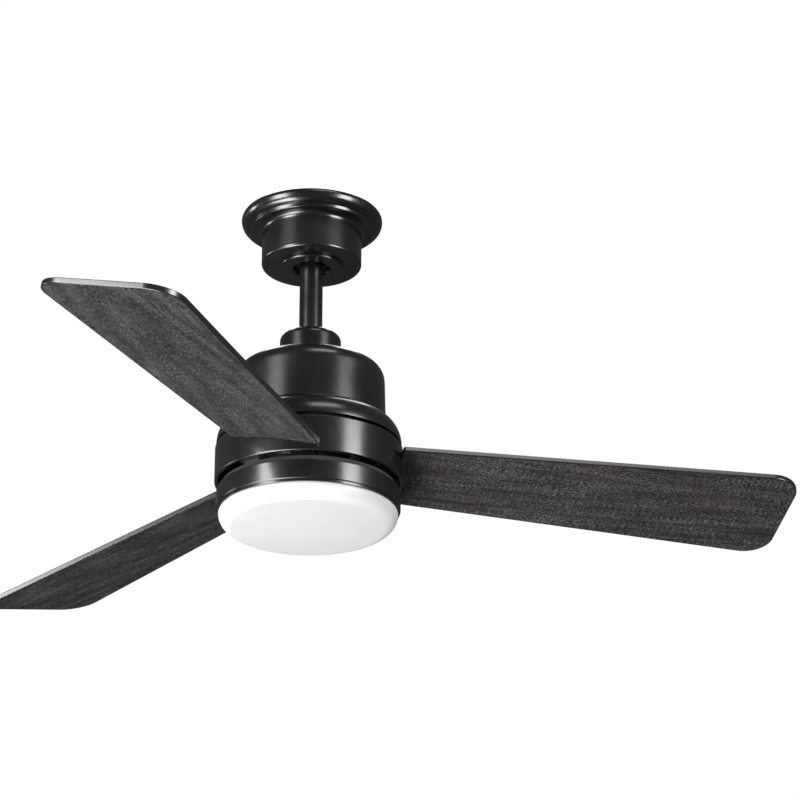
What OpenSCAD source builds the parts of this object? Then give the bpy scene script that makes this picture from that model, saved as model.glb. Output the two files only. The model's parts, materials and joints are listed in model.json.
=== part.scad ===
// Three-blade ceiling fan with an LED light, hung from a ball joint on a short downrod.
// Millimetres, +Z up. The origin is the centre of the hanger bracket's ceiling face,
// so everything hangs below z = 0. The blades, their hub and the rotor turn about Z.

/* [Canopy and hanger] */
// Radius of the canopy's rolled rim
canopy_r = 82; // [80:1:86]
// Radius of the canopy's lower drum
drum_r = 57.9; // [56:0.5:60]
// Height of the canopy below the ceiling
canopy_h = 63; // [62:1:66]
// Wall of the pressed canopy
canopy_wall = 1.2; // [1:0.1:1.4]
// Radius of the trim ring under the canopy
trim_r = 37; // [36:1:42]
// Radius of the hole that the rod swings in
rod_hole_r = 22; // [20:0.5:22.5]
// Spacing of the two ceiling-box slots
box_spacing = 88.9; // [85:0.1:92]

/* [Downrod] */
// Outer radius of the pipe
rod_r = 13.35; // [12.7:0.05:13.35]
// Wall of the pipe
rod_wall = 2.4; // [2:0.1:3]
// Height of the top of the coupling cover, below the ceiling
cover_top = 150.5; // [148:0.5:152]
// Radius of the coupling cover
cover_r = 35; // [34.5:0.5:38]

/* [Motor housing] */
// Depth of the housing's top below the ceiling
housing_top = 195; // [194:0.5:196]
// Radius of the housing where its rounded top ends
housing_r = 85.5; // [85.5:0.1:86.2]
// Radius of the housing's drum at the shoulder
shoulder_r = 86.6; // [86.4:0.1:87]
// Radius of the shoulder's lower edge
skirt_r = 104.7; // [104:0.1:106]
// Wall of the pressed housing
housing_wall = 1.3; // [1:0.1:1.5]

/* [Rotor band and blades] */
// Radius of the turning band
band_r = 106; // [105.5:0.1:107]
// Height of the turning band
band_h = 42; // [41:1:43]
// Distance from the axis to the blade's square root end
blade_root = 98.5; // [98:0.5:100]
// Distance from the axis to the blade's tip
blade_tip = 555.9; // [500:1:620]
// Width of the blade at its root
blade_root_w = 106.8; // [100:1:112]
// Width of the blade at its tip
blade_tip_w = 157.4; // [120:1:170]
// Thickness of the blade
blade_t = 6.3; // [5.5:0.1:6.5]
// Corner radius at the tip
tip_corner_r = 32; // [10:1:48]
// Pitch of the blade about its own length
blade_pitch = 12.45; // [11:0.05:13]
// Droop of the blade towards its tip
blade_droop = 2.2; // [1.5:0.1:2.5]
// Azimuth of the first blade
first_blade = 9.65; // [0:0.05:119]

/* [Light kit] */
// Radius of the light kit's ring
ring_r = 103.5; // [103:0.1:104]
// Height of the light kit's ring
ring_h = 22; // [21:1:23]
// Radius of the opal lens
lens_r = 100.6; // [100:0.1:101]
// Drop of the lens below the ring
lens_drop = 21.5; // [18:0.5:22]
// Number of LED chips
led_count = 30; // [6:6:36]

/* [Hidden] */

$fn = 96;
eps = 0.5;                                  // how far a cutter runs past the face it cuts
blade_count = 3;
blade_side = -1.9;                          // the blade's centre line lies this far from its axis

// Hanger: the ball hangs in the bracket's cradle.
ball_r = 26;
ball_z = -38;
ball_top = 14;                              // flat top of the ball, above its centre
ball_gap = 0.08;                            // running gap of the ball in its cradle
plate_t = 2.5;                              // bracket plate
leg_x = 30.5;                               // inner face of each bracket leg
leg_t = 2;
leg_w = 24;
cradle_z = -58;                             // underside of the cradle
cradle_r = 28.5;
flange_r = 38;
slot_r = 2.6;                               // ceiling-box slots
slot_len = 12;
wire_hole_r = 9;
ground_y = -18;
canopy_screw_r = 2;
canopy_screw_at = 31;                       // pitch radius of the two canopy screws
canopy_screw_az = 35;
canopy_turn = 20;                           // twist that frees the canopy

// Canopy rim, step and bottom
rim_z = -6;                                 // height of the rim's widest line
rim_corner = 10;
step_r = 71.5;
step_z = -20;
step_corner = 1.5;
step_fillet = 5;
drum_corner = 3;
drum_hole_r = 24;
trim_h = 3.5;
trim_wall = 1.2;

// Downrod and coupling
rod_bore = rod_r - rod_wall;
rod_top = -22;
rod_end = -177;
pin_r = 3;                                  // pin through ball and rod
pin_z = -28;
coupling_r = 20;
coupling_top = -158;
coupling_flange_r = 30;
coupling_flange_t = 6;
clevis_r = 4;                               // pin through rod and coupling
clevis_z = -168;
clevis_half = 24;
cover_wall = 1.3;
cover_corner = 12;
cover_corner_h = 9;

// Motor: a hollow fixed shaft, the stator on it, and the rotor round the stator
shaft_r = 8.5;
shaft_bore = 5;
shaft_top = -184;
shaft_end = -354;
motor_z = -246;                             // joint between the two rotor shells
shell_r = 76;
shell_wall = 3.5;
shell_half = 34;
shell_t = 3;
shell_flange_r = 81.5;
shell_flange_t = 3;
stator_r = 54.2;
stator_half = 16;
air_gap = 0.4;
slot_count = 12;
bearing_r = 20;                             // outer radius of both bearings
bearing_half = 6;
bearing_pitch = 14.25;
bearing_ball_r = 3.4;
race_gap = 0.02;
bearing_at = 31;                            // distance of each bearing's centre from motor_z
top_plate_r = 60;
top_plate_t = 2.7;

// Leads: each runs in its own upright plane, as [distance from the axis, height].
lead_r = 1.1;
lead_dirs = [225, 270, 315];
lead_route = [[2.4, -352], [2.4, -300], [2.4, -240], [2.4, -186], [3.2, -183], [6.8, -176], [7.6, -173],
    [7.6, -100], [7.6, -22], [8.2, -17], [10.6, -14], [14, -13], [19.5, -13]];

// Housing profile
housing_corner = 10.8;
housing_corner_h = 16.4;
shoulder_z = -288;
shoulder_rx = 22.7;
shoulder_rz = 28;
housing_end = -289;

// Reverse switch on the back of the housing
switch_z = -225;
switch_y = 77.8;
switch_depth = 5.6;
switch_travel = 3;
slider_h = 5;

// Rotor band, hub and blade holders
hub_z = -293;                               // underside of the hub disc and top of the band
hub_t = 3;
hub_r = 96;
riser_in = 40;
riser_out = 50;
band_wall = 1.5;
blade_z = -315.6;                           // underside of the blades' plane, on the axis
slot_play = 0.8;                            // gap between blade and band slot
slot_half = 43.5;
tongue_in = 58;                             // inner end of the blade's tongue
tongue_half = 34;
gasket_t = 1;
holder_in = 56;
holder_out = 85.5;
holder_half = 30;
band_flange_r = 86;                         // inner edge of the band's top flange
blade_screw_r = 2.4;
blade_screw_at = [[63, 0], [79, -20], [79, 20]];
holder_screw_r = 2.5;
holder_screw_at = [[63, -20], [63, 20]];

// Light kit
ring_top = -345;
ring_wall = 1.5;
ring_bottom = ring_top - ring_h;
neck_r = 99;
neck_z = -339;
lip_r = ring_r - 1.6;                       // the ring's lip stands round the lens
lip_t = 0.8;
lip_drop = 3;
lens_wall = 2.4;
lens_top = ring_bottom - 1.5;
lens_corner = 16;
lens_crown = 2;                             // how far the lens's face bulges
lens_bottom = ring_bottom - lens_drop;
lens_neck_r = 96;
lens_neck_z = -357;
lug_t = 1.5;
lug_arc = 16;
cup_r = 46;
cup_z = -298;
lower_plate_r = 60;
lower_plate_t = 2.5;
sink_r = 84;
sink_z = -350;
sink_t = 3.5;
board_r = 80;
board_t = 1.6;
chip_w = 3.5;
chip_t = 0.8;
sink_screw_at = 52;

// --- helpers -------------------------------------------------------------------------------

// Points along an elliptical arc, from angle a0 to a1.
function arc(cx, cy, rx, ry, a0, a1, n = 10) =
    [for (i = [0:n]) let (a = a0 + (a1 - a0) * i / n) [cx + rx * cos(a), cy + ry * sin(a)]];

// A tube between the heights z0 and z1.
module tube(z0, z1, r_out, r_in) {
    difference() {
        translate([0, 0, z0]) cylinder(h = z1 - z0, r = r_out);
        translate([0, 0, z0 - eps]) cylinder(h = z1 - z0 + 2 * eps, r = r_in);
    }
}

// A cylinder between two heights at a polar place.
module post(z0, z1, r, at = 0, az = 0) {
    rotate([0, 0, az]) translate([at, 0, z0]) cylinder(h = z1 - z0, r = r);
}

// A round-headed screw: head from head_z to seat_z, shank on to tip_z.
module screw(head_z, seat_z, tip_z, head_r, shank_r) {
    post(min(head_z, seat_z), max(head_z, seat_z), head_r, $fn = 32);
    post(min(seat_z, tip_z), max(seat_z, tip_z), shank_r, $fn = 32);
}

// Copies of the children round the axis.
module around(count, at, az = 0) {
    for (i = [0:count - 1]) {
        rotate([0, 0, az + i * 360 / count]) translate([at, 0, 0]) children();
    }
}

// The frame of blade i: X out along the blade, Y across it, Z off its underside.
module blade_frame(i) {
    translate([0, 0, blade_z])
        rotate([0, 0, first_blade + (i - 1) * 360 / blade_count])
            rotate([0, blade_droop, 0])
                rotate([-blade_pitch, 0, 0])
                    translate([0, blade_side, 0])
                        children();
}

// The blades' azimuths, in the level frame of the hub.
module at_holders() {
    for (i = [0:blade_count - 1]) rotate([0, 0, first_blade + i * 360 / blade_count]) children();
}

// A round tube along a planar route of [distance from the axis, height] points.
module tube_along(route, r, sides = 8) {
    last = len(route) - 1;
    function heading(i) = let (d = route[min(i + 1, last)] - route[max(i - 1, 0)]) d / norm(d);
    points = [for (i = [0:last]) let (t = heading(i)) for (k = [0:sides - 1]) let (a = 360 * k / sides)
        [route[i][0] + r * cos(a) * t[1], r * sin(a), route[i][1] - r * cos(a) * t[0]]];
    walls = [for (i = [0:last - 1]) for (k = [0:sides - 1]) let (m = (k + 1) % sides)
        [i * sides + k, (i + 1) * sides + k, (i + 1) * sides + m, i * sides + m]];
    ends = [[for (k = [0:sides - 1]) k], [for (k = [sides - 1:-1:0]) last * sides + k]];
    polyhedron(points, concat(walls, ends));
}

// --- ceiling mount -------------------------------------------------------------------------

module hanger_cradle() {
    color("silver") difference() {
        union() {
            post(cradle_z, ball_z - 7, cradle_r);
            post(cradle_z, cradle_z + leg_t, flange_r);
        }
        translate([0, 0, ball_z]) sphere(r = ball_r + ball_gap);
        post(cradle_z - eps, ball_z, 17.5);
        translate([-14.5, -60, cradle_z - eps]) cube([29, 60, 30]);
        around(2, canopy_screw_at, canopy_screw_az) post(cradle_z - eps, ball_z, canopy_screw_r);
    }
}

module hanger_bracket() {
    color("silver") {
        difference() {
            intersection() {
                translate([-60, -23, -plate_t]) cube([120, 46, plate_t]);
                post(-plate_t - eps, eps, 57);
            }
            post(-plate_t - eps, eps, wire_hole_r);
            translate([0, ground_y, 0]) post(-plate_t - eps, eps, 2);
            for (side = [-1, 1]) translate([side * box_spacing / 2, 0, -plate_t - eps]) {
                for (end = [-1, 1]) translate([end * (slot_len / 2 - slot_r), 0, 0])
                    cylinder(h = plate_t + 2 * eps, r = slot_r);
                translate([-slot_len / 2 + slot_r, -slot_r, 0])
                    cube([slot_len - 2 * slot_r, 2 * slot_r, plate_t + 2 * eps]);
            }
        }
        // the legs stand on the cradle's flange
        leg_foot = cradle_z + leg_t;
        for (side = [0, 1]) mirror([side, 0, 0])
            translate([leg_x, -leg_w / 2, leg_foot]) cube([leg_t, leg_w, -leg_foot - 1]);
    }
}

module ground_screw() {
    color("green") translate([0, ground_y, 0]) screw(-plate_t - 2.4, -plate_t, -0.1, 3.4, 1.95);
}

module canopy_screws() {
    color("dimgray") around(2, canopy_screw_at, canopy_screw_az)
        screw(-canopy_h - 2, -canopy_h, cradle_z + leg_t + 2, 3.6, canopy_screw_r);
}

module receiver() {
    color("black") difference() {
        translate([-29, 12, -plate_t - 12.5]) cube([58, 36, 12.5]);
        for (x = [-18:9:18]) translate([x - 1, 45, -plate_t - 13]) cube([2, 10, 4]);
    }
}

// --- canopy --------------------------------------------------------------------------------

// Half outline of the canopy, inset by w.
function canopy_outline(w, top) = concat(
    [[0, top], [canopy_r - 5, top]],
    arc(canopy_r - 5, rim_z, 5 - w, -rim_z, 90, 0),
    arc(canopy_r - rim_corner, rim_z, rim_corner - w, rim_corner - w, 0, -90),
    arc(step_r - step_corner, step_z + step_corner, step_corner - w, step_corner - w, 0, -90, 5),
    arc(drum_r + step_fillet, step_z - step_fillet, step_fillet + w, step_fillet + w, 90, 180),
    arc(drum_r - drum_corner, drum_corner - canopy_h, drum_corner - w, drum_corner - w, 0, -90, 6),
    [[0, w - canopy_h]]);

// A keyhole: a narrow arc that ends in a hole big enough for the screw's head.
module keyhole() {
    rotate([0, 0, canopy_screw_az - canopy_turn]) {
        rotate_extrude(angle = canopy_turn)
            translate([canopy_screw_at - 2.2, -canopy_h - eps]) square([4.4, 3]);
        post(-canopy_h - 2 * eps, 4 - canopy_h, 4.3, canopy_screw_at);
    }
    post(-canopy_h - 2 * eps, 4 - canopy_h, 2.4, canopy_screw_at, canopy_screw_az);
}

module canopy() {
    color([0.09, 0.09, 0.09]) difference() {
        rotate_extrude() polygon(canopy_outline(0, 0));
        rotate_extrude() polygon(canopy_outline(canopy_wall, eps));
        post(-canopy_h - eps, 2 - canopy_h, drum_hole_r);
        keyhole();
        rotate([0, 0, 180]) keyhole();
    }
}

module canopy_trim_ring() {
    color([0.09, 0.09, 0.09]) rotate_extrude() polygon(concat(
        [[rod_hole_r, trim_wall - canopy_h + 0.3], [rod_hole_r + trim_wall, trim_wall - canopy_h + 0.3],
         [rod_hole_r + trim_wall, -canopy_h - trim_h + 1.1], [trim_r - trim_wall, -canopy_h - trim_h + 1.1],
         [trim_r - trim_wall, -canopy_h], [trim_r, -canopy_h]],
        arc(trim_r - 1.5, -canopy_h - trim_h + 1.5, 1.5, 1.5, 0, -90, 6),
        [[rod_hole_r, -canopy_h - trim_h]]));
}

// --- ball, rod and coupling ----------------------------------------------------------------

module hanger_ball() {
    color("dimgray") difference() {
        intersection() {
            translate([0, 0, ball_z]) sphere(r = ball_r);
            post(ball_z - 24, ball_z + ball_top, ball_r + 1);
        }
        post(ball_z - 30, ball_z + 30, rod_r);
        translate([-30, 0, pin_z]) rotate([0, 90, 0]) cylinder(h = 60, r = pin_r);
        translate([0, 0, ball_z + 2]) rotate([-90, 0, 0]) cylinder(h = 30, r = 2.5);
    }
}

module ball_pin() {
    color("silver") translate([-22, 0, pin_z]) rotate([0, 90, 0]) cylinder(h = 44, r = pin_r);
}

module ball_set_screw() {
    color("dimgray") translate([0, rod_r, ball_z + 2]) rotate([-90, 0, 0]) cylinder(h = 10, r = 2.5);
}

module downrod() {
    color([0.09, 0.09, 0.09]) difference() {
        tube(rod_end, rod_top, rod_r, rod_bore);
        translate([-30, 0, pin_z]) rotate([0, 90, 0]) cylinder(h = 60, r = pin_r);
        translate([-30, 0, clevis_z]) rotate([0, 90, 0]) cylinder(h = 60, r = clevis_r);
    }
}

// Three leads: up the hollow shaft, past the pins in the rod, then out over the ball.
module lead_wires() {
    for (i = [0:2]) color(["black", "white", "blue"][i])
        rotate([0, 0, lead_dirs[i]]) tube_along(lead_route, lead_r);
}

module wire_nuts() {
    splice = lead_route[len(lead_route) - 1];
    color("orange") for (dir = lead_dirs) rotate([0, 0, dir])
        translate([splice[0], 0, splice[1]]) rotate([0, 90, 0]) {
            cylinder(h = 9, r = 4.4, $fn = 32);
            translate([0, 0, 9]) cylinder(h = 6, r1 = 4.4, r2 = 2.2, $fn = 32);
        }
}

module coupling() {
    color("dimgray") difference() {
        union() {
            post(-housing_top, coupling_top, coupling_r);
            post(-housing_top, coupling_flange_t - housing_top, coupling_flange_r);
        }
        post(rod_end, coupling_top + eps, rod_r);
        post(-housing_top - eps, coupling_top, shaft_r);
        translate([-30, 0, clevis_z]) rotate([0, 90, 0]) cylinder(h = 60, r = clevis_r);
        translate([0, -30, clevis_z - 5]) rotate([-90, 0, 0]) cylinder(h = 60, r = 3);
        around(3, 25, 30) post(-housing_top - eps, -180, 2.5);
    }
}

module coupling_pin() {
    color("silver") difference() {
        union() {
            translate([-clevis_half, 0, clevis_z]) rotate([0, 90, 0])
                cylinder(h = 2 * clevis_half, r = clevis_r);
            translate([-clevis_half - 2, 0, clevis_z]) rotate([0, 90, 0]) cylinder(h = 2, r = 6);
        }
        translate([clevis_half - 2.5, 0, clevis_z - 10]) cylinder(h = 20, r = 0.9, $fn = 24);
    }
}

module coupling_clip() {
    color("silver") translate([clevis_half - 2.5, 0, clevis_z]) {
        translate([0, 0, -7]) cylinder(h = 16, r = 0.8, $fn = 24);
        translate([0, 3.5, 9]) rotate([0, -90, 0]) rotate_extrude()
            translate([3.5, 0]) circle(r = 0.8, $fn = 24);
    }
}

module coupling_screws() {
    color("dimgray") for (side = [0, 1]) mirror([0, side, 0])
        translate([0, rod_r, clevis_z - 5]) rotate([-90, 0, 0]) cylinder(h = 9, r = 3, $fn = 32);
}

// Half outline of the coupling cover, inset by w.
function cover_outline(w, low) = concat(
    [[0, -cover_top - w]],
    arc(cover_r - cover_corner, -cover_top - cover_corner_h, cover_corner - w, cover_corner_h - w, 90, 0),
    [[cover_r - w, low], [0, low]]);

module coupling_cover() {
    color([0.09, 0.09, 0.09]) difference() {
        rotate_extrude() polygon(cover_outline(0, -housing_top));
        rotate_extrude() polygon(cover_outline(cover_wall, -housing_top - eps));
        post(-housing_top, 0, rod_r + 0.5);
    }
}

// --- upper housing and fixed motor parts ---------------------------------------------------

// Half outline of the upper housing, inset by w.
function housing_outline(w, low) = concat(
    [[0, -housing_top - w]],
    arc(housing_r - housing_corner, -housing_top - housing_corner_h,
        housing_corner - w, housing_corner_h - w, 90, 0, 14),
    arc(skirt_r - shoulder_rx, shoulder_z, shoulder_rx - w, shoulder_rz - w,
        acos((shoulder_r - skirt_r + shoulder_rx) / (shoulder_rx - w)), 0, 14),
    [[skirt_r - w, low], [0, low]]);

module motor_housing() {
    color([0.09, 0.09, 0.09]) difference() {
        rotate_extrude() polygon(housing_outline(0, housing_end));
        rotate_extrude() polygon(housing_outline(housing_wall, housing_end - eps));
        post(-housing_top - 5, eps - housing_top, 12);
        around(3, 25, 30) post(-housing_top - 5, eps - housing_top, 2.5);
        translate([-2.6, 70, switch_z - slider_h / 2 - switch_travel - 1])
            cube([5.2, 30, slider_h + 2 * switch_travel + 2]);
    }
}

module mounting_plate() {
    plate_top = -housing_top - housing_wall;
    color("silver") difference() {
        tube(plate_top - top_plate_t, plate_top, top_plate_r, shaft_r);
        around(3, 25, 30) post(plate_top - 5, plate_top + eps, 2.5);
        around(6, 45) post(plate_top - 5, plate_top + eps, 6);
    }
}

module plate_screws() {
    seat = coupling_flange_t - housing_top;
    color("silver") around(3, 25, 30)
        screw(seat + 2.5, seat, -housing_top - housing_wall - top_plate_t - 3, 4.2, 2.5);
}

module motor_shaft() {
    color("silver") tube(shaft_end, shaft_top, shaft_r, shaft_bore);
}

module stator_core() {
    color("slategray") difference() {
        tube(motor_z - stator_half, motor_z + stator_half, stator_r, shaft_r);
        around(slot_count, 26) translate([0, -3.5, motor_z - 20]) cube([22, 7, 40]);
        around(slot_count, 47) translate([0, -1.2, motor_z - 20]) cube([10, 2.4, 40]);
    }
}

module stator_windings() {
    color("peru") {
        tube(motor_z + stator_half, motor_z + stator_half + 8, 49, 25);
        tube(motor_z - stator_half - 8, motor_z - stator_half, 49, 25);
        around(slot_count, 27)
            translate([0, -3, motor_z - stator_half - 1]) cube([20, 6, 2 * stator_half + 2]);
    }
}

// --- bearings ------------------------------------------------------------------------------

// The groove that the balls run in, as a ring to cut away.
module race_groove() {
    rotate_extrude() translate([bearing_pitch, 0]) circle(r = bearing_ball_r + race_gap, $fn = 48);
}

// Both bearings' centres.
module at_bearings() {
    for (side = [-1, 1]) translate([0, 0, motor_z + side * bearing_at]) children();
}

module bearing_inner_races() {
    color("silver") at_bearings() difference() {
        tube(-bearing_half, bearing_half, bearing_pitch - 2.2, shaft_r);
        race_groove();
    }
}

module bearing_outer_races() {
    color("silver") at_bearings() difference() {
        tube(-bearing_half, bearing_half, bearing_r, bearing_pitch + 2.2);
        race_groove();
    }
}

module ball_cage(side) {
    color("gold") translate([0, 0, motor_z + side * bearing_at]) {
        around(8, bearing_pitch) sphere(r = bearing_ball_r, $fn = 32);
        tube(-1.6, 1.6, bearing_pitch + 0.7, bearing_pitch - 0.7);
    }
}

module upper_ball_cage() { ball_cage(1); }

module lower_ball_cage() { ball_cage(-1); }

// --- rotor ---------------------------------------------------------------------------------

// One rotor shell, open towards z = 0, with its bearing pocket at the far end.
module rotor_shell() {
    pocket_r = bearing_r + 4;
    difference() {
        union() {
            tube(0, shell_half, shell_r, shell_r - shell_wall);
            tube(shell_half - shell_t, shell_half, shell_r, bearing_r);
            tube(0, shell_flange_t, shell_flange_r, shell_r - shell_wall);
            tube(bearing_at - bearing_half, bearing_at + bearing_half, pocket_r, bearing_r);
        }
        around(6, 78.8) post(-eps, shell_flange_t + eps, 1.5);
        around(6, riser_in + 5, 30) post(shell_half - 5, shell_half + eps, 2);
        around(9, 60) post(shell_half - 5, shell_half + eps, 5);
    }
}

module rotor_upper_shell() {
    color("gainsboro") translate([0, 0, motor_z]) rotor_shell();
}

module rotor_lower_shell() {
    color("gainsboro") translate([0, 0, motor_z]) mirror([0, 0, 1]) rotor_shell();
}

module rotor_core() {
    color("slategray")
        tube(motor_z - stator_half, motor_z + stator_half, shell_r - shell_wall, stator_r + air_gap);
}

module rotor_screws() {
    color("silver") translate([0, 0, motor_z]) around(6, 78.8)
        screw(shell_flange_t + 2, shell_flange_t, -shell_flange_t, 2.6, 1.5);
}

module reverse_switch() {
    color("dimgray") difference() {
        translate([-8, switch_y, switch_z - 9]) cube([16, switch_depth, 18]);
        translate([-2.2, switch_y + 2, switch_z - slider_h / 2 - switch_travel - 0.5])
            cube([4.4, 10, slider_h + 2 * switch_travel + 1]);
    }
}

module reverse_slider() {
    color("black") {
        translate([-1.9, switch_y + 2.2, switch_z - slider_h / 2]) cube([3.8, 7.6, slider_h]);
        for (z = [-1.5:1.5:1.5])
            translate([-1.9, switch_y + 9.6, switch_z + z - 0.35]) cube([3.8, 0.8, 0.7]);
    }
}

// --- hub, band and blades ------------------------------------------------------------------

module blade_hub() {
    color("dimgray") difference() {
        union() {
            tube(hub_z, hub_z + hub_t, hub_r, bearing_r + 6);
            tube(hub_z, motor_z - shell_half, riser_out, riser_in);
        }
        around(6, riser_in + 5, 30) post(hub_z - eps, motor_z, 2);
        around(blade_count, 68, first_blade + 60) post(hub_z - eps, hub_z + 5, 13);
        at_holders() for (p = holder_screw_at)
            translate([p[0], p[1], 0]) post(hub_z - eps, hub_z + 5, holder_screw_r);
        for (turn = [-25, 25])
            around(blade_count, 91, first_blade + 60 + turn) post(hub_z - eps, hub_z + 5, 2);
    }
}

module hub_screws() {
    color("silver") around(6, riser_in + 5, 30)
        screw(hub_z - 2.2, hub_z, motor_z - shell_half + shell_t, 3.8, 2);
}

module blade_band() {
    low = hub_z - band_h;
    color([0.09, 0.09, 0.09]) difference() {
        rotate_extrude() polygon(concat(
            [[band_flange_r, hub_z]],
            arc(band_r - 1.5, hub_z - 1.5, 1.5, 1.5, 90, 0, 6),
            arc(band_r - 1.5, low + 1.5, 1.5, 1.5, 0, -90, 6),
            [[band_r - 3.5, low], [band_r - 3.5, low + 1], [band_r - band_wall, low + 1],
             [band_r - band_wall, hub_z - band_wall], [band_flange_r, hub_z - band_wall]]));
        for (i = [1:blade_count]) blade_frame(i)
            translate([80, -slot_half, -slot_play])
                cube([40, 2 * slot_half, blade_t + 2 * slot_play]);
        for (turn = [-25, 25])
            around(blade_count, 91, first_blade + 60 + turn) post(hub_z - 5, hub_z + eps, 2);
    }
}

module band_screws() {
    color("silver") for (turn = [-25, 25])
        around(blade_count, 91, first_blade + 60 + turn)
            screw(hub_z - band_wall - 2, hub_z - band_wall, hub_z + hub_t, 3.6, 2);
}

// A cast wedge between the level hub and the pitched blade.
module blade_holder(i) {
    seat = blade_t + gasket_t;
    color("silver") difference() {
        rotate([0, 0, first_blade + (i - 1) * 360 / blade_count]) difference() {
            intersection() {
                translate([holder_in, blade_side - holder_half, hub_z - 34])
                    cube([holder_out - holder_in, 2 * holder_half, 34]);
                post(hub_z - 35, hub_z + 1, band_flange_r - 0.3);
            }
            translate([68, blade_side - 22, hub_z - 7]) cube([8, 44, 8]);
            for (p = holder_screw_at)
                translate([p[0], p[1], 0]) post(hub_z - 8, hub_z + eps, holder_screw_r);
        }
        blade_frame(i) translate([0, -100, seat - 60]) cube([200, 200, 60]);
        blade_frame(i) for (p = blade_screw_at)
            translate([p[0], p[1], seat - eps]) cylinder(h = 7 + eps, r = blade_screw_r);
    }
}

module blade_holder_1() { blade_holder(1); }

module blade_holder_2() { blade_holder(2); }

module blade_holder_3() { blade_holder(3); }

module holder_screws() {
    color("silver") at_holders() for (p = holder_screw_at)
        translate([p[0], p[1], 0])
            screw(hub_z + hub_t + 2.4, hub_z + hub_t, hub_z - 8, 4.2, holder_screw_r);
}

module blade_gaskets() {
    color("black") for (i = [1:blade_count]) blade_frame(i) difference() {
        translate([holder_in + 4, 2 - holder_half, blade_t])
            cube([holder_out - holder_in - 6, 2 * holder_half - 4, gasket_t]);
        for (p = blade_screw_at)
            translate([p[0], p[1], blade_t - eps]) cylinder(h = gasket_t + 2 * eps, r = blade_screw_r);
    }
}

module blade_screws() {
    color("silver") for (i = [1:blade_count]) blade_frame(i)
        for (p = blade_screw_at)
            translate([p[0], p[1], 0]) screw(-2, 0, blade_t + gasket_t + 7, 4.4, blade_screw_r);
}

// Plan of one blade: a square root with a tongue, and a tip with two round corners.
module blade_plan() {
    root_half = blade_root_w / 2;
    tip_half = blade_tip_w / 2;
    flare = atan((tip_half - root_half) / (blade_tip - blade_root));
    corner_s = blade_tip - tip_corner_r;
    // centre of the corner arc, which touches the tip line and the flared edge
    corner_t = tip_half - (tip_half - root_half) * tip_corner_r / (blade_tip - blade_root)
        - tip_corner_r / cos(flare);
    upper = concat(
        [[tongue_in, tongue_half], [blade_root, tongue_half], [blade_root, root_half - 2],
         [blade_root + 2, root_half]],
        arc(corner_s, corner_t, tip_corner_r, tip_corner_r, 90 + flare, 0, 16));
    lower = [for (i = [len(upper) - 1:-1:0]) [upper[i][0], -upper[i][1]]];
    polygon(concat(upper, lower));
}

module blade(i) {
    color([0.22, 0.21, 0.2]) blade_frame(i) difference() {
        linear_extrude(height = blade_t) blade_plan();
        for (p = blade_screw_at)
            translate([p[0], p[1], -eps]) cylinder(h = blade_t + 2 * eps, r = blade_screw_r);
    }
}

module blade_1() { blade(1); }

module blade_2() { blade(2); }

module blade_3() { blade(3); }

// --- light kit -----------------------------------------------------------------------------

module switch_cup() {
    color("silver") difference() {
        post(ring_top + lower_plate_t, cup_z, cup_r);
        post(ring_top, cup_z - 1.2, cup_r - 1.2);
        post(cup_z - 5, cup_z + eps, shaft_r + 0.3);
    }
}

module capacitor() {
    color("black") translate([-19, 17, ring_top + lower_plate_t]) cube([38, 19, 34]);
}

module led_driver() {
    color("white") translate([-23, -36, ring_top + lower_plate_t]) cube([46, 21, 34]);
}

module lower_plate() {
    color("silver") difference() {
        tube(ring_top, ring_top + lower_plate_t, lower_plate_r, shaft_r);
        around(3, sink_screw_at) post(ring_top - eps, ring_top + 5, 2);
    }
}

module shaft_nuts() {
    color("silver") for (z = [ring_top - ring_wall - 6, ring_top + lower_plate_t]) difference() {
        post(z, z + 6, 14, $fn = 6);
        post(z - eps, z + 6 + eps, shaft_r);
    }
}

module light_ring() {
    color([0.09, 0.09, 0.09]) difference() {
        rotate_extrude() polygon(concat(
            [[10, ring_top - ring_wall], [10, ring_top], [neck_r - ring_wall, ring_top],
             [neck_r - ring_wall, neck_z], [neck_r, neck_z], [neck_r, ring_top]],
            arc(ring_r - 1, ring_top - 1, 1, 1, 90, 0, 5),
            arc(ring_r - 1.5, ring_bottom + 1.5, 1.5, 1.5, 0, -90, 6),
            [[lip_r, ring_bottom], [lip_r, ring_bottom - lip_drop],
             [lip_r - lip_t, ring_bottom - lip_drop], [lip_r - lip_t, ring_bottom + 0.7],
             [ring_r - ring_wall, ring_bottom + 0.7],
             [ring_r - ring_wall, ring_top - ring_wall]]));
        around(3, sink_screw_at) post(ring_top - 5, ring_top + eps, 2);
    }
}

module ring_screws() {
    color("silver") around(3, sink_screw_at)
        screw(ring_top - ring_wall - 2.2, ring_top - ring_wall, ring_top + lower_plate_t, 3.8, 2);
}

module heat_sink() {
    color("gainsboro") difference() {
        union() {
            tube(sink_z - sink_t, sink_z, sink_r, 18);
            tube(sink_z, ring_top - ring_wall, 72, 66);
        }
        around(24, 77) translate([0, 0, sink_z - 1]) cylinder(h = 5, r = 2, $fn = 24);
    }
}

module led_board() {
    color("white") tube(sink_z - sink_t - board_t, sink_z - sink_t, board_r, 16);
}

module led_chips() {
    top = sink_z - sink_t - board_t;
    color("lightyellow") for (k = [1:3])
        around(led_count * k / 6, 22 * k) translate([-chip_w / 2, -chip_w / 2, top - chip_t])
            cube([chip_w, chip_w, chip_t]);
}

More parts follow.
